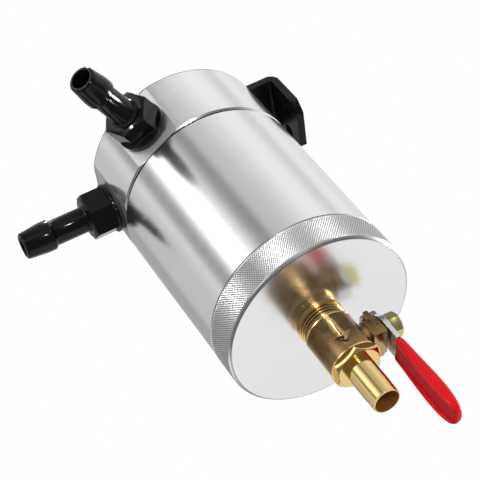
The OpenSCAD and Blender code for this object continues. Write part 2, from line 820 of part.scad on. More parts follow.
// Side view of the grip, which swells from the arm and thins again at its end
module grip_side() {
    swell_l = 9;
    fold_l = 6;
    thin_l = 8;
    thin_start = 18;
    polygon([
        [grip_y, web_s - vinyl_t], [grip_y, web_top_s + vinyl_t],
        [grip_y - swell_l, grip_back_s + 1], [grip_end_y, grip_back_s + 1],
        [grip_end_y, web_s], [grip_end_y + thin_l, grip_inner_s],
        [grip_end_y + thin_start, grip_inner_s], [grip_y - fold_l, web_s - vinyl_t]
    ]);
}

// Section across the grip: a crowned back over two folded edges
module grip_section() {
    slot_half = grip_half - vinyl_t - grip_lip;
    intersection() {
        difference() {
            translate([-grip_half, grip_inner_s]) square([2 * grip_half, grip_depth]);
            translate([-slot_half, grip_inner_s - 1])
                square([2 * slot_half, web_s - vinyl_t - grip_inner_s + 1]);
        }
        translate([0, grip_back_s - grip_crown_r]) circle(r = grip_crown_r);
    }
}

// Spring washer under the lever's nut
module lever_washer() {
    color([0.60, 0.60, 0.60]) placed() at_stem() translate([0, 0, washer_s])
        ring(nut_af / 2 - fit, stem_d / 2 + fit, lever_washer_t);
}

// Yellow plated nut that holds the lever
module lever_nut() {
    color([0.80, 0.74, 0.42]) placed() at_stem() translate([0, 0, nut_s]) difference() {
        chamfered_hex(nut_af, nut_h, 10);
        translate([0, 0, -1]) cylinder(r = stem_d / 2 + seat, h = nut_h + 2);
    }
}

head();
cup();
cup_seal();
inlet_fitting();
outlet_fitting();
inlet_washer();
outlet_washer();
bracket();
bracket_screws();
filter_stem();
filter_top_disc();
filter_element();
filter_bottom_disc();
baffle_spacer();
baffle_plate();
baffle_nut();
valve_body();
valve_tail();
valve_ball();
upper_ball_seat();
lower_ball_seat();
valve_stem();
stem_seal();
lever();
lever_grip();
lever_washer();
lever_nut();
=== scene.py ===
"""Finishes, dipped grip, knurled band and studio for a hanging oil catch can with a ball valve."""

import json
import math

import bmesh
import bpy
from mathutils import Matrix, Quaternion, Vector


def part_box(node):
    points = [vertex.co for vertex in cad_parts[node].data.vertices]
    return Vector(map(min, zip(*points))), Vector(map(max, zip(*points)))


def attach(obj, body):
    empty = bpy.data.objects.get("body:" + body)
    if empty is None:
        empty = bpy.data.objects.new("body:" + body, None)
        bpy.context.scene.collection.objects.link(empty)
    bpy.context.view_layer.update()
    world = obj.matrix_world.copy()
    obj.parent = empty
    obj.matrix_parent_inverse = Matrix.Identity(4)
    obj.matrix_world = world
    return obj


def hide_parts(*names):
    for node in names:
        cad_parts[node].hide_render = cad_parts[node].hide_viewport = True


bl_info = {
    "name": "Oil Catch Can Dressing",
    "version": (1, 0, 0),
    "blender": (4, 5, 0),
    "location": "View3D > Sidebar > Catch Can",
    "description": "Dresses the packed oil catch can and sets it in a pale studio",
    "category": "Object",
}

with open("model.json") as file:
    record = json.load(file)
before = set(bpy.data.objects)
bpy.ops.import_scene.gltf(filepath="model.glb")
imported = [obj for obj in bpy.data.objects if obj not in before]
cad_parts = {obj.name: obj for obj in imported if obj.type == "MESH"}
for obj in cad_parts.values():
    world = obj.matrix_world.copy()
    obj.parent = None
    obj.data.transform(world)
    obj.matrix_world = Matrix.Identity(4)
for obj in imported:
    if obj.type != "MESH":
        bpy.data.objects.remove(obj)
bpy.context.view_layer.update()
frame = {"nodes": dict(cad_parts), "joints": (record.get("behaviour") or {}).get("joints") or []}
NODES = frame["nodes"]
MM = 0.001
SAME_PLACE = 0.001 * MM

# Can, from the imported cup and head
CUP_LOW, CUP_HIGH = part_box("cup")
CAN_CENTRE = Vector(((CUP_LOW.x + CUP_HIGH.x) / 2, (CUP_LOW.y + CUP_HIGH.y) / 2, 0))
CAN_R = (CUP_HIGH.x - CUP_LOW.x) / 2
BASE_Z = CUP_LOW.z
RIM = 0.8 * MM
SEAM_Z = CUP_HIGH.z + 0.2 * MM
TOP_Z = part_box("head")[1].z
FLAT_R = CAN_R - 1.4 * MM

# Valve, from the joint of its lever
VALVE_TURN = next(j for j in frame["joints"] if j["name"] == "valve_turn")
STEM_OUT = -Vector(VALVE_TURN["axis"])
STEM_Z = VALVE_TURN["pos_m"][2]
STEM_FRAME = Matrix.Translation((CAN_CENTRE.x, CAN_CENTRE.y, STEM_Z)) @ Matrix(
    (Vector((0, 0, 1)).cross(STEM_OUT), (0, 0, 1), STEM_OUT)
).transposed().to_4x4()
BARREL_R = 8.8 * MM
THREAD_R = 8.3 * MM
BORE_R = 4.5 * MM
COLLAR_Z = BASE_Z - 6.1 * MM
BOSS_START = 9.2 * MM
BOSS_UNDERSIDE_Z = STEM_Z - 5.2 * MM

# Grip, as shares of its CAD solid. Each station: share of the length, of the half width, of the
# depth to the folded edge, of the depth to the inner face and of the depth to the back
GRIP_FACE = 0.25
GRIP_STATIONS = (
    (0.000, 0.93, 0.18, 0.24, 0.90),
    (0.012, 0.97, 0.15, 0.24, 0.93),
    (0.12, 0.98, 0.14, GRIP_FACE, 0.97),
    (0.30, 0.97, 0.03, GRIP_FACE, 1.00),
    (0.50, 1.02, -0.03, GRIP_FACE, 1.06),
    (0.68, 1.03, -0.04, GRIP_FACE, 1.07),
    (0.80, 1.00, -0.01, GRIP_FACE, 1.02),
    (0.90, 0.93, 0.10, 0.26, 0.93),
    (0.95, 0.74, 0.22, 0.30, 0.84),
    (0.98, 0.42, 0.34, 0.40, 0.76),
)

# Flow arrow: its head and neck as shares of its width and half width, the rounding of its edges
# as a share of its height, and the slices that let it bend round the barrel
ARROW_HEAD = 0.6
ARROW_NECK = 0.3
ARROW_ROUNDING = 0.6
ARROW_SLICES = 6

# Edges of CAD meshes: those that turn less than the first angle are dissolved, those that turn
# more than the second are rounded, to one of two widths, and those that turn more than the third
# stay sharp where the shading is made even
PLANE_TURN = math.radians(0.4)
ROUNDED_TURN = math.radians(35)
SHARP_TURN = math.radians(10)
FINE_EDGE = 0.2 * MM
COATED_EDGE = 0.35 * MM

# Most values of a noise lie in this range
NOISE_RANGE = (0.3, 0.7)

# Half width of the studio's floor
FLOOR_REACH = 40
# Metal mirrors the floor pale in a patch behind the can, and darker round it: how far away the
# patch is, and between which distances it ends and the darker floor ends
PATCH_AWAY = 1.5
PATCH_EDGE = (1.0, 1.5)
DARK_EDGE = (2.6, 3.8)

# What bright metal mirrors above the floor: a plain level, and soft boxes and flags round the
# can, each with its heading in degrees, half width, softness, and what it adds to the level
MIRRORED_LEVEL = 0.8
PANELS = (
    ("key_strip", -47, 8, 9, 0.75),
    ("right_flag", -13, 2, 12, -0.39),
    ("left_flag", -74, 3, 10, -0.49),
    ("left_shade", -121, 14, 19, -0.21),
    ("rear_flag", -164, 13, 12, -0.40),
    ("right_shade", 14, 11, 25, -0.24),
    ("right_fill", 50, 15, 19, 0.14),
    ("far_shade", 80, 3, 10, -0.14),
    ("far_fill", 98, 3, 14, 0.13),
)

# Soft lamps: name, place about the camera's target, size and power
LAMPS = (
    ("low_lamp", (0.85, -0.75, 0.05), 0.09, 6.0),
    ("under_lamp", (0.95, 0.10, -0.62), 0.07, 3.0),
    ("high_lamp", (0.24, 0.30, 1.03), 0.15, 8.0),
    ("back_lamp", (-0.35, 1.0, -0.3), 0.25, 10.0),
)


def colour(label, text, value):
    """Colour that a user can change."""
    return bpy.props.FloatVectorProperty(
        name=label, description=text, default=value, size=3, min=0, max=1, subtype="COLOR"
    )


class CatchCanColours(bpy.types.PropertyGroup):
    """Base colours of the finishes."""

    aluminium: colour("Aluminium", "Satin aluminium of the head and the cup", (0.85, 0.85, 0.855))
    cast_brass: colour("Cast brass", "Cast skin of the valve's barrel", (0.40, 0.25, 0.11))
    bright_brass: colour("Bright brass", "Turned faces of the valve", (0.88, 0.64, 0.28))
    zinc: colour("Yellow zinc", "Plating of the lever's nut", (0.74, 0.66, 0.28))
    vinyl: colour("Vinyl", "Dipped grip of the lever", (0.50, 0.003, 0.007))
    black: colour("Black", "Anodised hose tails and coated bracket", (0.0025, 0.0025, 0.0028))


class CatchCanKnurl(bpy.types.PropertyGroup):
    """Diamond knurl round the foot of the cup."""

    band: bpy.props.FloatProperty(
        name="Band", description="Height of the knurled band",
        default=12.6 * MM, unit="LENGTH"
    )
    margin: bpy.props.FloatProperty(
        name="Margin", description="Plain edge above and below the knurl",
        default=0.25 * MM, unit="LENGTH"
    )
    chamfer: bpy.props.FloatProperty(
        name="Chamfer", description="Chamfer of the cup below the band",
        default=RIM, unit="LENGTH"
    )
    pitch_round: bpy.props.FloatProperty(
        name="Pitch round", description="Width of a diamond round the cup",
        default=0.95 * MM, unit="LENGTH"
    )
    pitch_up: bpy.props.FloatProperty(
        name="Pitch up", description="Height of a diamond along the cup",
        default=1.15 * MM, unit="LENGTH"
    )
    depth: bpy.props.FloatProperty(
        name="Depth", description="Height of a diamond's point",
        default=0.15 * MM, unit="LENGTH"
    )
    lift: bpy.props.FloatProperty(
        name="Lift", description="From the cup's side out to the knurl's valleys",
        default=0.02 * MM, unit="LENGTH"
    )
    root: bpy.props.FloatProperty(
        name="Root", description="Depth of the band sunk into the cup",
        default=0.3 * MM, unit="LENGTH"
    )


class CatchCanGrip(bpy.types.PropertyGroup):
    """Dipped vinyl grip on the lever."""

    wall: bpy.props.FloatProperty(
        name="Wall", description="Width of the folded edges",
        default=1.9 * MM, unit="LENGTH"
    )
    crown: bpy.props.FloatProperty(
        name="Crown", description="Drop of the back from its middle to its sides",
        default=0.9 * MM, unit="LENGTH"
    )
    levels: bpy.props.IntProperty(
        name="Smoothing", description="Subdivision levels of the grip", default=2, min=1, max=3
    )


class CatchCanArrow(bpy.types.PropertyGroup):
    """Raised arrow that shows which way the valve drains."""

    width: bpy.props.FloatProperty(
        name="Width", description="Width of the arrow's head",
        default=6.4 * MM, unit="LENGTH"
    )
    length: bpy.props.FloatProperty(
        name="Length", description="Length from tail to tip",
        default=10.6 * MM, unit="LENGTH"
    )
    height: bpy.props.FloatProperty(
        name="Height", description="Height above the barrel",
        default=0.6 * MM, unit="LENGTH"
    )
    root: bpy.props.FloatProperty(
        name="Root", description="Depth sunk into the barrel",
        default=0.3 * MM, unit="LENGTH"
    )
    drop: bpy.props.FloatProperty(
        name="Drop", description="From the can's base to the arrow's middle",
        default=14.3 * MM, unit="LENGTH"
    )
    turn: bpy.props.FloatProperty(
        name="Turn", description="Heading of the arrow round the barrel",
        default=math.radians(-4), subtype="ANGLE"
    )


class CatchCanStudio(bpy.types.PropertyGroup):
    """Camera and light."""

    azimuth: bpy.props.FloatProperty(
        name="Azimuth", description="Camera's turn round the can",
        default=math.radians(68.797), subtype="ANGLE"
    )
    elevation: bpy.props.FloatProperty(
        name="Elevation", description="Camera's height, from below",
        default=math.radians(-41.282), subtype="ANGLE"
    )
    roll: bpy.props.FloatProperty(
        name="Roll", description="Camera's tilt about its view",
        default=math.radians(-39.365), subtype="ANGLE"
    )
    distance: bpy.props.FloatProperty(
        name="Distance", description="From the camera to its target",
        default=0.59659, unit="LENGTH"
    )
    target: bpy.props.FloatVectorProperty(
        name="Target", description="Point at the picture's middle",
        default=(-0.00132, -0.04891, -0.04525), size=3, subtype="XYZ"
    )
    lens: bpy.props.FloatProperty(
        name="Lens", description="Focal length in millimetres", default=125.27, unit="CAMERA"
    )
    sensor: bpy.props.FloatProperty(
        name="Sensor", description="Width of the camera's sensor in millimetres",
        default=36, unit="CAMERA"
    )
    floor_drop: bpy.props.FloatProperty(
        name="Floor drop", description="Depth of the studio's floor below the can's fixing holes",
        default=1.25, unit="LENGTH"
    )
    level: bpy.props.FloatProperty(
        name="Level", description="Plain light from all round on matt surfaces", default=0.90
    )
    below: bpy.props.FloatProperty(
        name="Below", description="How pale metal mirrors the floor on the camera's side",
        default=0.15, min=0, max=1, subtype="FACTOR"
    )


class Graph:
    """A node tree, and short ways to add to it."""

    def __init__(self, tree):
        self.nodes = tree.nodes
        self.links = tree.links

    def put(self, node, socket, value):
        """Sets a socket to a value, or links it if the value is another node's output."""
        if isinstance(value, bpy.types.NodeSocket):
            self.links.new(value, node.inputs[socket])
        else:
            node.inputs[socket].default_value = value

    def add(self, kind, inputs=None, output=0, **settings):
        """Adds a node with its settings and inputs and returns one of its outputs."""
        node = self.nodes.new(kind)
        for key, value in settings.items():
            setattr(node, key, value)
        for socket, value in (inputs or {}).items():
            self.put(node, socket, value)
        return node.outputs[output]

    def math(self, operation, *values):
        """Math node."""
        return self.add("ShaderNodeMath", dict(enumerate(values)), operation=operation)

    def span(self, value, low, high, to_low=0.0, to_high=1.0, kind="LINEAR"):
        """Maps a value from one range to another, clamped."""
        values = (value, low, high, to_low, to_high)
        return self.add("ShaderNodeMapRange", dict(enumerate(values)), interpolation_type=kind)

    def along(self, vector, turn, label=""):
        """How far a vector reaches along a heading."""
        way = (math.cos(turn), math.sin(turn), 0)
        return self.add(
            "ShaderNodeVectorMath", {0: vector, 1: way}, "Value",
            operation="DOT_PRODUCT", label=label
        )


class Finish(Graph):
    """A material with a principled surface, and short ways to add its detail."""

    def __init__(self, name, base, metallic=0.0, **sockets):
        self.material = bpy.data.materials.new(name)
        self.material.use_nodes = True
        super().__init__(self.material.node_tree)
        self.surface = self.nodes["Principled BSDF"]
        self.show("Base Color", rgba(base))
        self.show("Metallic", metallic)
        for socket, value in sockets.items():
            self.show(socket.replace("_", " "), value)

    def show(self, socket, value):
        """Sets or links a socket of the surface."""
        self.put(self.surface, socket, value)

    def place(self, centre=(0, 0, 0), scale=(1, 1, 1)):
        """Object coordinates about a point, as a vector in metres."""
        return self.add("ShaderNodeMapping", {
            "Vector": self.add("ShaderNodeTexCoord", output="Object"),
            "Location": [-c * s for c, s in zip(centre, scale)], "Scale": scale
        })

    def stem_parts(self):
        """Object coordinates across the lever's stem, up, and out along the stem."""
        back = STEM_FRAME.inverted()
        return self.parts(self.add("ShaderNodeMapping", {
            "Vector": self.add("ShaderNodeTexCoord", output="Object"),
            "Location": back.translation, "Rotation": back.to_euler()
        }))

    def parts(self, vector):
        """The three parts of a vector."""
        node = self.nodes.new("ShaderNodeSeparateXYZ")
        self.put(node, 0, vector)
        return node.outputs

    def axis_parts(self):
        """Distance from the can's axis, and height."""
        x, y, z = self.parts(self.place(CAN_CENTRE))
        squares = [self.math("POWER", part, 2.0) for part in (x, y)]
        return self.math("SQRT", self.math("ADD", *squares)), z

    def distance(self, point):
        """Distance from a point, in object coordinates."""
        coordinates = self.add("ShaderNodeTexCoord", output="Object")
        return self.add(
            "ShaderNodeVectorMath", {0: coordinates, 1: point}, "Value", operation="DISTANCE"
        )

    def near(self, value, middle, half, soft):
        """1 within half a width of a value, falling softly to 0."""
        away = self.math("ABSOLUTE", self.math("SUBTRACT", value, middle))
        return self.span(away, half, half + soft, 1.0, 0.0)

    def noise(self, scale, detail=3.0, roughness=0.5, vector=None):
        """Noise value from 0 to 1."""
        return self.add("ShaderNodeTexNoise", {
            "Vector": vector or self.place(), "Scale": scale,
            "Detail": detail, "Roughness": roughness
        })

    def blend(self, share, colour_a, colour_b):
        """Mix of two colours."""
        inputs = {0: share, 6: rgba(colour_a), 7: rgba(colour_b)}
        return self.add("ShaderNodeMix", inputs, 2, data_type="RGBA")

    def mix(self, share, value_a, value_b):
        """Mix of two values."""
        return self.add(
            "ShaderNodeMix", {0: share, 2: value_a, 3: value_b}, data_type="FLOAT"
        )

    def bump(self, height, depth, strength):
        """Bump from a height of 0 to 1 that stands for a depth in metres."""
        inputs = {"Height": height, "Distance": depth, "Strength": strength}
        self.show("Normal", self.add("ShaderNodeBump", inputs))

    def wear(self, low, high, scale):
        """Roughness that drifts between two values in soft patches."""
        self.show("Roughness", self.span(self.noise(scale), *NOISE_RANGE, low, high))


def rgba(value):
    """A plain colour with its alpha, or a node's output as it is."""
    return value if isinstance(value, bpy.types.NodeSocket) else (*value, 1)


def scaled(value, share):
    """A darker share of a colour."""
    return tuple(share * part for part in value)


def between(colour_a, colour_b, share):
    """A plain colour a share of the way from one to another."""
    return tuple((1 - share) * a + share * b for a, b in zip(colour_a, colour_b))


def satin_aluminium(base, rough, flat_turns):
    """Turned and anodised aluminium with duller, darker port flats, and painted shade lines at the
    seam, the top rim and the foot.
    """
    finish = Finish("satin_aluminium", base, 1.0)
    radius, height = finish.axis_parts()
    place = finish.place(CAN_CENTRE)
    flat = 0.0
    for turn in flat_turns:
        out = finish.along(place, turn)
        flat = finish.math("MAXIMUM", flat, finish.near(out, FLAT_R, 0.06 * MM, 0.03 * MM))
    above_seam = finish.math("GREATER_THAN", height, SEAM_Z + RIM)
    flat = finish.math("MULTIPLY", flat, above_seam)
    drift = finish.noise(90, 4, vector=finish.place(CAN_CENTRE, scale=(1, 1, 3)))
    patchy = finish.span(drift, *NOISE_RANGE, rough - 0.015, rough + 0.015)
    duller = 0.25
    finish.show("Roughness", finish.math("MULTIPLY_ADD", flat, duller, patchy))
    # Painted shade: thin dark lines at the foot chamfer's lower edge, the top rim and the seam,
    # and the port flats a little darker
    foot = finish.math(
        "MULTIPLY", finish.near(height, BASE_Z, 0.25 * MM, 0.1 * MM),
        finish.near(radius, CAN_R - RIM, 0.2 * MM, 0.1 * MM)
    )
    top = finish.near(height, TOP_Z - RIM, 0.22 * MM, 0.15 * MM)
    dark = finish.near(height, SEAM_Z, 0.3 * MM, 0.15 * MM)
    for share, line in ((0.5, foot), (0.85, top), (0.32, flat)):
        dark = finish.math("MAXIMUM", dark, finish.math("MULTIPLY", line, share))
    # The painted shade mixes the colour towards near black
    finish.show("Base Color", finish.blend(dark, base, (0.03, 0.03, 0.03)))
    return finish.material


def knurled_aluminium(base, rough, valley_r, point_r):
    """The same aluminium, with painted shade in the valleys of its knurl."""
    finish = Finish("knurled_aluminium", base, 1.0)
    finish.wear(rough - 0.02, rough + 0.03, 90)
    radius = finish.axis_parts()[0]
    # Painted shade: the colour darkens towards black from the diamonds' slopes down into the
    # valleys
    slope_end = valley_r + 0.7 * (point_r - valley_r)
    tone = finish.span(radius, valley_r, slope_end, 0.15, 0.85)
    finish.show("Base Color", finish.blend(tone, (0.0, 0.0, 0.0), base))
    return finish.material


def plain_aluminium():
    """Mill-finish aluminium of the pieces inside."""
    finish = Finish("disc_aluminium", (0.72, 0.72, 0.73), 1.0)
    finish.wear(0.30, 0.45, 150)
    return finish.material


def black_anodised(base):
    """Glossy black anodising with a faint turned grain."""
    finish = Finish("black_anodised", base, Specular_IOR_Level=0.22)
    finish.wear(0.10, 0.15, 180)
    finish.bump(finish.noise(900), 0.003 * MM, 0.5)
    return finish.material


def black_coat(base):
    """Black powder coat with a soft orange peel."""
    finish = Finish("black_coated_steel", base, Specular_IOR_Level=0.14)
    finish.wear(0.20, 0.30, 120)
    finish.bump(finish.noise(700, 2), 0.01 * MM, 0.5)
    return finish.material


def black_oxide():
    """Black oxide screws."""
    finish = Finish("black_screw_steel", (0.05, 0.05, 0.055), 1.0)
    finish.wear(0.28, 0.42, 400)
    return finish.material


def bright_steel(name, base, low, high):
    """Bright plated or turned steel with soft patches and a fine grain."""
    finish = Finish(name, base, 1.0)
    finish.wear(low, high, 260)
    finish.bump(finish.noise(1500, 2), 0.002 * MM, 0.4)
    return finish.material


def cast_brass(cast, bright):
    """Cast brass with a grainy skin, bright where a tool has cut it, with painted shade between
    its threads.
    """
    finish = Finish("cast_brass", cast, 1.0)
    radius, height = finish.axis_parts()
    reach = finish.stem_parts()[2]
    collar = finish.span(height, COLLAR_Z - 0.1 * MM, COLLAR_Z)
    under = finish.span(height, BOSS_UNDERSIDE_Z + 0.1 * MM, BOSS_UNDERSIDE_Z)
    past_barrel = finish.span(reach, BOSS_START, BOSS_START + 0.2 * MM)
    sawn = finish.math("MULTIPLY", under, past_barrel)
    cut = finish.math("MAXIMUM", collar, sawn)

    patches = finish.noise(220, 4, 0.6)
    dull = finish.blend(finish.span(patches, 0.35, 0.65), scaled(cast, 0.8), cast)
    # Painted shade: the turned collar is darkened between its threads
    between_threads = finish.span(
        radius, THREAD_R - 0.5 * MM, THREAD_R - 0.15 * MM, 1.0, 0.0
    )
    thread_shade = finish.math("MULTIPLY", collar, between_threads)
    turned = finish.blend(thread_shade, bright, tuple(0.3 * part * part for part in bright))
    skin = finish.blend(sawn, dull, between(cast, bright, 0.2))
    finish.show("Base Color", finish.blend(collar, skin, turned))

    cut_rough = 0.16
    skin_rough = finish.span(patches, *NOISE_RANGE, 0.24, 0.32)
    finish.show("Roughness", finish.mix(cut, skin_rough, cut_rough))
    strength = finish.math("SUBTRACT", 0.5, finish.math("MULTIPLY", cut, 0.45))
    finish.bump(finish.noise(1100, 5, 0.6), 0.015 * MM, strength)
    return finish.material


def worn_brass(cast, bright):
    """Cast brass rubbed brighter on what stands out."""
    finish = Finish("worn_brass", between(cast, bright, 0.5), 1.0)
    finish.wear(0.2, 0.3, 400)
    finish.bump(finish.noise(1100), 0.02 * MM, 0.4)
    return finish.material


def turned_brass(base):
    """Bright turned brass, dull and brown inside its bore."""
    finish = Finish("turned_brass", base, 1.0)
    radius = finish.axis_parts()[0]
    skin = finish.span(radius, BORE_R, BORE_R + 0.1 * MM)
    finish.show("Base Color", finish.blend(skin, (0.30, 0.11, 0.02), base))
    finish.show("Metallic", finish.span(skin, 0.0, 1.0, 0.35, 1.0))
    bore_rough = 0.5
    skin_rough = finish.span(finish.noise(200), *NOISE_RANGE, 0.10, 0.18)
    finish.show("Roughness", finish.mix(skin, bore_rough, skin_rough))
    return finish.material


def red_vinyl(base, face_z, face_half):
    """Dipped vinyl, glossy with slow ripples, duller inside its channel, and darkened there as
    painted shade.
    """
    finish = Finish(
        "red_vinyl", base, Roughness=0.25, Specular_IOR_Level=0.05, Coat_Roughness=0.07
    )
    across, _, out = finish.stem_parts()
    shaded_hollow = finish.math(
        "MULTIPLY", finish.span(out, face_z + 0.3 * MM, face_z + 0.9 * MM, 1.0, 0.0),
        finish.near(across, 0.0, face_half - 0.4 * MM, 0.6 * MM)
    )
    tone = finish.span(finish.noise(60, 2), 0.35, 0.65)
    skin = finish.blend(tone, scaled(base, 0.9), base)
    # Painted shade: the inside of the channel is darkened to six tenths of the vinyl's colour
    finish.show("Base Color", finish.blend(shaded_hollow, skin, scaled(base, 0.6)))
    finish.show("Coat Weight", finish.span(shaded_hollow, 0.0, 1.0, 0.3, 0.04))
    finish.bump(finish.noise(160, 2), 0.04 * MM, 0.3)
    return finish.material


def seal_rubber():
    """Matt black rubber."""
    finish = Finish("seal_rubber", (0.02, 0.02, 0.02))
    finish.wear(0.5, 0.7, 300)
    return finish.material


def white_seat():
    """Slippery white plastic of the ball's seats."""
    finish = Finish("white_seat", (0.88, 0.88, 0.85))
    finish.wear(0.3, 0.42, 300)
    return finish.material


def filter_felt():
    """Fibrous pleated felt."""
    finish = Finish("filter_felt", (0.80, 0.77, 0.66), Roughness=0.9, Sheen_Weight=0.3)
    fibres = finish.noise(2500, 4, 0.7, finish.place(scale=(1, 1, 0.3)))
    tone = finish.span(fibres, *NOISE_RANGE)
    finish.show("Base Color", finish.blend(tone, (0.66, 0.62, 0.50), (0.84, 0.81, 0.70)))
    finish.bump(fibres, 0.08 * MM, 0.8)
    return finish.material


def local_box(node, matrix):
    """Lowest and highest corner of a CAD node in another frame."""
    back = matrix.inverted()
    points = [back @ v.co for v in NODES[node].data.vertices]
    low = Vector([min(p[i] for p in points) for i in range(3)])
    high = Vector([max(p[i] for p in points) for i in range(3)])
    return low, high


def port_turns():
    """Headings of the two ports, from the mouths of their hose tails."""
    turns = []
    for node in ("inlet_fitting", "outlet_fitting"):
        flat = [(v.co - CAN_CENTRE).xy for v in NODES[node].data.vertices]
        reach = max(p.length for p in flat)
        mouth = [p for p in flat if p.length > reach - 0.3 * MM]
        turns.append(math.atan2(sum(p.y for p in mouth), sum(p.x for p in mouth)))
    return turns


def put_at_radius(verts, radius):
    """Moves vertices straight out from the can's axis to a radius."""
    for v in verts:
        flat = Vector((v.co.x - CAN_CENTRE.x, v.co.y - CAN_CENTRE.y, 0))
        v.co = CAN_CENTRE + flat.normalized() * radius + Vector((0, 0, v.co.z))


def piece_from(bm, name, body, material, smooth_degrees):
    """Makes an object of a finished bmesh, in its place, and lets it ride on a body."""
    bmesh.ops.recalc_face_normals(bm, faces=bm.faces)
    mesh = bpy.data.meshes.new(name)
    bm.to_mesh(mesh)
    bm.free()
    mesh.shade_smooth()
    mesh.set_sharp_from_angle(angle=math.radians(smooth_degrees))
    mesh.materials.append(material)
    piece = bpy.data.objects.new(name, mesh)
    bpy.context.scene.collection.objects.link(piece)
    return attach(piece, body)


def dress(nodes, material):
    """Gives CAD nodes their finish."""
    for node in nodes:
        mesh = NODES[node].data
        mesh.materials.clear()
        mesh.materials.append(material)


def join_triangles(piece):
    """Joins the loose triangles of a CAD node, in a modifier."""
    weld = piece.modifiers.new("Join", "WELD")
    weld.merge_threshold = SAME_PLACE


def even_shading(nodes):
    """Shades round CAD faces evenly across the seams between their loose triangles."""
    for node in nodes:
        piece = NODES[node]
        join_triangles(piece)
        split = piece.modifiers.new("Split", "EDGE_SPLIT")
        split.split_angle = SHARP_TURN
        piece.modifiers.new("Even", "WEIGHTED_NORMAL")


def break_edges(nodes, width):
    """Rounds the sharp edges of CAD nodes, whose loose triangles are joined first."""
    for node in nodes:
        piece = NODES[node]
        join_triangles(piece)
        planar = piece.modifiers.new("Planar", "DECIMATE")
        planar.decimate_type = "DISSOLVE"
        planar.angle_limit = PLANE_TURN
        edge = piece.modifiers.new("Edge", "BEVEL")
        edge.width = width
        edge.segments = 2
        edge.limit_method = "ANGLE"
        edge.angle_limit = ROUNDED_TURN
        edge.harden_normals = True


class CATCHCAN_OT_aluminium(bpy.types.Operator):
    """Finish the head, the cup and the discs inside"""

    bl_idname = "catchcan.aluminium"
    bl_label = "Finish the Aluminium"

    def execute(self, context):
        base = context.scene.catchcan_colours.aluminium
        dress(["head", "cup"], satin_aluminium(base, rough=0.2, flat_turns=port_turns()))
        even_shading(["head", "cup"])
        dress(
            ["filter_top_disc", "filter_bottom_disc", "baffle_spacer", "baffle_plate"],
            plain_aluminium(),
        )
        return {"FINISHED"}


class CATCHCAN_OT_black_pieces(bpy.types.Operator):
    """Finish the hose tails, the bracket, its screws and the seals"""

    bl_idname = "catchcan.black_pieces"
    bl_label = "Finish the Black Pieces"

    def execute(self, context):
        base = context.scene.catchcan_colours.black
        dress(["inlet_fitting", "outlet_fitting"], black_anodised(base))
        dress(["bracket"], black_coat(base))
        dress(["bracket_screws"], black_oxide())
        break_edges(["inlet_fitting", "outlet_fitting"], FINE_EDGE)
        break_edges(["bracket"], COATED_EDGE)
        dress(["cup_seal", "inlet_washer", "outlet_washer", "stem_seal"], seal_rubber())
        return {"FINISHED"}


class CATCHCAN_OT_valve(bpy.types.Operator):
    """Finish the valve's body, tail, ball and seats"""

    bl_idname = "catchcan.valve"
    bl_label = "Finish the Valve"

    def execute(self, context):
        colours = context.scene.catchcan_colours
        dress(["valve_body"], cast_brass(colours.cast_brass, colours.bright_brass))
        dress(["valve_tail", "valve_stem"], turned_brass(colours.bright_brass))
        dress(["valve_ball"], bright_steel("ball_chrome", (0.80, 0.80, 0.80), 0.06, 0.10))
        dress(["upper_ball_seat", "lower_ball_seat"], white_seat())
        return {"FINISHED"}


class CATCHCAN_OT_lever(bpy.types.Operator):
    """Finish the lever, its nut and washer, and the steel pieces inside"""

    bl_idname = "catchcan.lever"
    bl_label = "Finish the Lever"

    def execute(self, context):
        zinc = context.scene.catchcan_colours.zinc
        plated = bright_steel("plated_steel", (0.82, 0.82, 0.80), 0.14, 0.22)
        dress(["lever", "lever_washer"], plated)
        dress(["lever_nut"], bright_steel("yellow_zinc", zinc, 0.18, 0.26))
        break_edges(["lever", "lever_nut"], FINE_EDGE)
        plain = bright_steel("plain_steel", (0.62, 0.62, 0.62), 0.2, 0.35)
        dress(["filter_stem", "baffle_nut"], plain)
        dress(["filter_element"], filter_felt())
        return {"FINISHED"}


class CATCHCAN_OT_knurl(bpy.types.Operator):
    """Cut the diamond knurl round the foot of the cup"""

    bl_idname = "catchcan.knurl"
    bl_label = "Knurl the Band"

    def execute(self, context):
        size = context.scene.catchcan_knurl
        low = BASE_Z + size.chamfer + size.margin
        high = BASE_Z + size.band - size.margin
        columns = round(2 * math.pi * CAN_R / size.pitch_round)
        rows = round((high - low) / size.pitch_up)
        valley_r = CAN_R + size.lift
        point_r = valley_r + size.depth

        bm = bmesh.new()
        ends = [bm.verts.new(CAN_CENTRE + Vector((valley_r, 0, z))) for z in (low, high)]
        column = bm.edges.new(ends)
        bmesh.ops.subdivide_edges(bm, edges=[column], cuts=rows - 1)
        bmesh.ops.spin(
            bm, geom=bm.verts[:] + bm.edges[:], cent=CAN_CENTRE, axis=(0, 0, 1),
            angle=2 * math.pi, steps=columns, use_merge=True
        )
        # Each square gets a middle, the squares' own edges go, and what is left are diamonds
        grid = [e for e in bm.edges if len(e.link_faces) == 2]
        middles = bmesh.ops.poke(bm, faces=bm.faces[:])["verts"]
        put_at_radius(middles, valley_r)
        bmesh.ops.dissolve_edges(bm, edges=grid, use_verts=False)
        put_at_radius(bmesh.ops.poke(bm, faces=bm.faces[:])["verts"], point_r)

        rims = [e for e in bm.edges if e.is_boundary]
        inner = bmesh.ops.extrude_edge_only(bm, edges=rims)["geom"]
        inner_verts = [v for v in inner if isinstance(v, bmesh.types.BMVert)]
        put_at_radius(inner_verts, CAN_R - size.root)
        bmesh.ops.bridge_loops(bm, edges=[e for e in bm.edges if e.is_boundary])

        base = context.scene.catchcan_colours.aluminium
        finish = knurled_aluminium(base, 0.4, valley_r, point_r)
        band = piece_from(bm, "knurled_band", "cup_unit", finish, smooth_degrees=12)
        return {"FINISHED"}


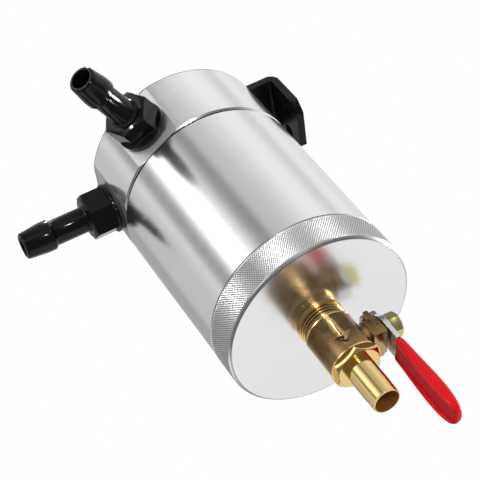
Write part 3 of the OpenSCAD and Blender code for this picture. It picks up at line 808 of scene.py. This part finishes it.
def grip_outline(half, edge, face, back, wall, crown):
    """Points across the grip, from the inner face's middle round one side to the back's middle
    and round the other side."""
    side = [
        (half - wall - 0.9 * MM, face), (half - wall, face - 0.35 * (face - edge)),
        (half - 0.75 * wall, edge), (half - 0.2 * wall, edge + 0.1 * MM),
        (half, edge + 0.9 * MM), (half, back - 1.9 * MM),
        (half - 0.5 * MM, back - crown), (0.5 * half, back - 0.2 * crown)
    ]
    return [(0, face)] + side + [(0, back)] + [(-x, s) for x, s in reversed(side)]


class CATCHCAN_OT_grip(bpy.types.Operator):
    """Mould the dipped grip round the lever"""

    bl_idname = "catchcan.grip"
    bl_label = "Mould the Grip"

    def execute(self, context):
        size = context.scene.catchcan_grip
        low, high = local_box("lever_grip", STEM_FRAME)
        half, length, depth = (high.x - low.x) / 2, high.y - low.y, high.z - low.z
        bm = bmesh.new()
        loops = []
        for along, wide, edge, face, back in GRIP_STATIONS:
            y = high.y - along * length
            outline = grip_outline(
                wide * half, low.z + edge * depth, low.z + face * depth,
                low.z + back * depth, size.wall * wide, size.crown * wide
            )
            verts = [bm.verts.new((x, y, s)) for x, s in outline]
            loops.append([bm.edges.new((a, b)) for a, b in zip(verts, verts[1:] + verts[:1])])
        for first, second in zip(loops, loops[1:]):
            bmesh.ops.bridge_loops(bm, edges=first + second)
        for end in (loops[0], loops[-1]):
            bmesh.ops.contextual_create(bm, geom=end)
        bmesh.ops.transform(bm, matrix=STEM_FRAME, verts=bm.verts)

        base = context.scene.catchcan_colours.vinyl
        vinyl = red_vinyl(base, low.z + GRIP_FACE * depth, half - size.wall)
        grip = piece_from(bm, "dipped_grip", "lever_unit", vinyl, smooth_degrees=180)
        smooth = grip.modifiers.new("Smooth", "SUBSURF")
        smooth.levels = size.levels
        smooth.render_levels = size.levels
        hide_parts("lever_grip")
        return {"FINISHED"}


class CATCHCAN_OT_arrow(bpy.types.Operator):
    """Raise the cast flow arrow on the valve's barrel"""

    bl_idname = "catchcan.arrow"
    bl_label = "Raise the Flow Arrow"

    def execute(self, context):
        size = context.scene.catchcan_arrow
        half, head = size.width / 2, size.width * ARROW_HEAD
        neck, tail = half * ARROW_NECK, size.length / 2
        side = [(neck, tail), (neck, head - tail), (half, head - tail)]
        outline = side + [(0, -tail)] + [(-x, y) for x, y in reversed(side)]
        bm = bmesh.new()
        face = bm.faces.new([bm.verts.new((x, y, 0)) for x, y in outline])
        bmesh.ops.solidify(bm, geom=[face], thickness=size.height + size.root)
        top = max(v.co.z for v in bm.verts)
        rim = [e for e in bm.edges if all(v.co.z > top - SAME_PLACE for v in e.verts)]
        bmesh.ops.bevel(
            bm, geom=rim, offset=size.height * ARROW_ROUNDING, segments=2, profile=0.5,
            affect="EDGES", offset_type="OFFSET", material=-1
        )
        for i in range(1 - ARROW_SLICES, ARROW_SLICES):
            bmesh.ops.bisect_plane(
                bm, geom=bm.verts[:] + bm.edges[:] + bm.faces[:], dist=SAME_PLACE,
                plane_co=(i * half / ARROW_SLICES, 0, 0), plane_no=(1, 0, 0)
            )
        for v in bm.verts:
            turn = size.turn + v.co.x / BARREL_R
            reach = BARREL_R + size.height - (top - v.co.z)
            height = BASE_Z - size.drop + v.co.y
            v.co = CAN_CENTRE + Vector((reach * math.cos(turn), reach * math.sin(turn), height))
        bmesh.ops.remove_doubles(bm, verts=bm.verts, dist=SAME_PLACE)

        colours = context.scene.catchcan_colours
        worn = worn_brass(colours.cast_brass, colours.bright_brass)
        arrow = piece_from(bm, "cast_flow_arrow", "cup_unit", worn, smooth_degrees=30)
        return {"FINISHED"}


class CATCHCAN_OT_stage(bpy.types.Operator):
    """Set up the camera, the world, the lamps and the floor"""

    bl_idname = "catchcan.stage"
    bl_label = "Set up the Studio"

    def execute(self, context):
        studio = context.scene.catchcan_studio
        context.scene.view_settings.view_transform = "Standard"
        add_camera(context, studio)
        add_floor(context, studio)
        light_world(context, studio)
        add_lamps(context, studio)
        return {"FINISHED"}


def add_camera(context, studio):
    """Camera at the photograph's viewing angle."""
    flat = math.cos(studio.elevation)
    back = Vector((
        math.sin(studio.azimuth) * flat, -math.cos(studio.azimuth) * flat,
        math.sin(studio.elevation)
    ))
    level = (-back).to_track_quat("-Z", "Y")
    data = bpy.data.cameras.new("studio_camera")
    data.lens = studio.lens
    data.sensor_width = studio.sensor
    camera = bpy.data.objects.new("studio_camera", data)
    camera.rotation_mode = "QUATERNION"
    camera.rotation_quaternion = level @ Quaternion((0, 0, 1), studio.roll)
    camera.location = Vector(studio.target) + studio.distance * back
    context.scene.collection.objects.link(camera)
    context.scene.camera = camera


def add_floor(context, studio):
    """Pale floor well below the hanging can, mirrored darker by metal on the camera's side."""
    foot = Vector((0, 0, -studio.floor_drop))
    bm = bmesh.new()
    bmesh.ops.create_grid(bm, x_segments=1, y_segments=1, size=FLOOR_REACH)
    bmesh.ops.translate(bm, verts=bm.verts, vec=foot)
    mesh = bpy.data.meshes.new("studio_floor")
    bm.to_mesh(mesh)
    bm.free()
    pale = (0.90, 0.90, 0.90)
    finish = Finish("studio_floor", pale)
    finish.wear(0.75, 0.85, 3)
    behind = studio.azimuth + math.radians(90)
    patch = foot + PATCH_AWAY * Vector((math.cos(behind), math.sin(behind), 0))
    outside = finish.span(finish.distance(patch), *PATCH_EDGE)
    near = finish.span(finish.distance(foot), *DARK_EDGE, 1.0, 0.0)
    mirrored = finish.add("ShaderNodeLightPath", output="Is Glossy Ray")
    dark = finish.math("MULTIPLY", finish.math("MULTIPLY", outside, near), mirrored)
    finish.show("Base Color", finish.blend(dark, pale, scaled(pale, studio.below)))
    mesh.materials.append(finish.material)
    floor = bpy.data.objects.new("studio_floor", mesh)
    context.scene.collection.objects.link(floor)


def light_world(context, studio):
    """White behind the can, a plain level on matt surfaces, and soft boxes for bright metal."""
    world = bpy.data.worlds.new("studio")
    context.scene.world = world
    world.use_nodes = True
    graph = Graph(world.node_tree)
    graph.nodes.clear()

    way = graph.add("ShaderNodeTexCoord", output="Generated")
    flat = graph.add("ShaderNodeVectorMath", {0: way, 1: (1, 1, 0)}, operation="MULTIPLY")
    heading = graph.add("ShaderNodeVectorMath", {0: flat}, operation="NORMALIZE")
    level = MIRRORED_LEVEL
    for name, degrees, half, soft, amount in PANELS:
        toward = graph.along(heading, math.radians(degrees), name)
        outer, inner = (math.cos(math.radians(angle)) for angle in (half + soft, half))
        share = graph.span(toward, outer, inner, kind="SMOOTHSTEP")
        level = graph.math("MULTIPLY_ADD", share, amount, level)

    white = (1, 1, 1, 1)
    mirrored, plain, behind = (
        graph.add("ShaderNodeBackground", {"Color": white, "Strength": strength})
        for strength in (level, studio.level, 1.0)
    )
    path = graph.nodes.new("ShaderNodeLightPath").outputs
    bright = graph.math("MAXIMUM", path["Is Glossy Ray"], path["Is Transmission Ray"])
    lit = graph.add("ShaderNodeMixShader", {0: bright, 1: plain, 2: mirrored})
    seen = graph.add("ShaderNodeMixShader", {0: path["Is Camera Ray"], 1: lit, 2: behind})
    output = graph.nodes.new("ShaderNodeOutputWorld")
    graph.put(output, "Surface", seen)


def add_lamps(context, studio):
    """Soft lamps that face the can."""
    for name, place, size, power in LAMPS:
        data = bpy.data.lights.new(name, "AREA")
        data.size = size
        data.energy = power
        lamp = bpy.data.objects.new(name, data)
        lamp.location = Vector(studio.target) + Vector(place)
        lamp.rotation_mode = "QUATERNION"
        lamp.rotation_quaternion = (-Vector(place)).to_track_quat("-Z", "Y")
        context.scene.collection.objects.link(lamp)


class CATCHCAN_PT_panel(bpy.types.Panel):
    """Steps that dress the can"""

    bl_idname = "CATCHCAN_PT_panel"
    bl_label = "Catch Can"
    bl_space_type = "VIEW_3D"
    bl_region_type = "UI"
    bl_category = "Catch Can"

    def draw(self, context):
        layout = self.layout
        for name in GROUPS:
            group = getattr(context.scene, name)
            box = layout.box()
            box.label(text=name.removeprefix("catchcan_").capitalize())
            for prop in group.bl_rna.properties:
                if prop.identifier not in ("rna_type", "name"):
                    box.prop(group, prop.identifier)
        for operator in OPERATORS:
            layout.operator(operator.bl_idname)


GROUPS = {
    "catchcan_colours": CatchCanColours,
    "catchcan_knurl": CatchCanKnurl,
    "catchcan_grip": CatchCanGrip,
    "catchcan_arrow": CatchCanArrow,
    "catchcan_studio": CatchCanStudio,
}
OPERATORS = (
    CATCHCAN_OT_stage,
    CATCHCAN_OT_aluminium,
    CATCHCAN_OT_black_pieces,
    CATCHCAN_OT_valve,
    CATCHCAN_OT_lever,
    CATCHCAN_OT_knurl,
    CATCHCAN_OT_grip,
    CATCHCAN_OT_arrow,
)


def register():
    """Registers the settings, the operators and the panel."""
    for name, group in GROUPS.items():
        bpy.utils.register_class(group)
        setattr(bpy.types.Scene, name, bpy.props.PointerProperty(type=group))
    for cls in OPERATORS + (CATCHCAN_PT_panel,):
        bpy.utils.register_class(cls)


def unregister():
    """Takes them away again."""
    for cls in (CATCHCAN_PT_panel,) + OPERATORS:
        bpy.utils.unregister_class(cls)
    for name, group in GROUPS.items():
        delattr(bpy.types.Scene, name)
        bpy.utils.unregister_class(group)


def main():
    register()
    bpy.ops.catchcan.stage()
    bpy.ops.catchcan.aluminium()
    bpy.ops.catchcan.black_pieces()
    bpy.ops.catchcan.valve()
    bpy.ops.catchcan.lever()
    bpy.ops.catchcan.knurl()
    bpy.ops.catchcan.grip()
    bpy.ops.catchcan.arrow()


if __name__ == "__main__":
    main()
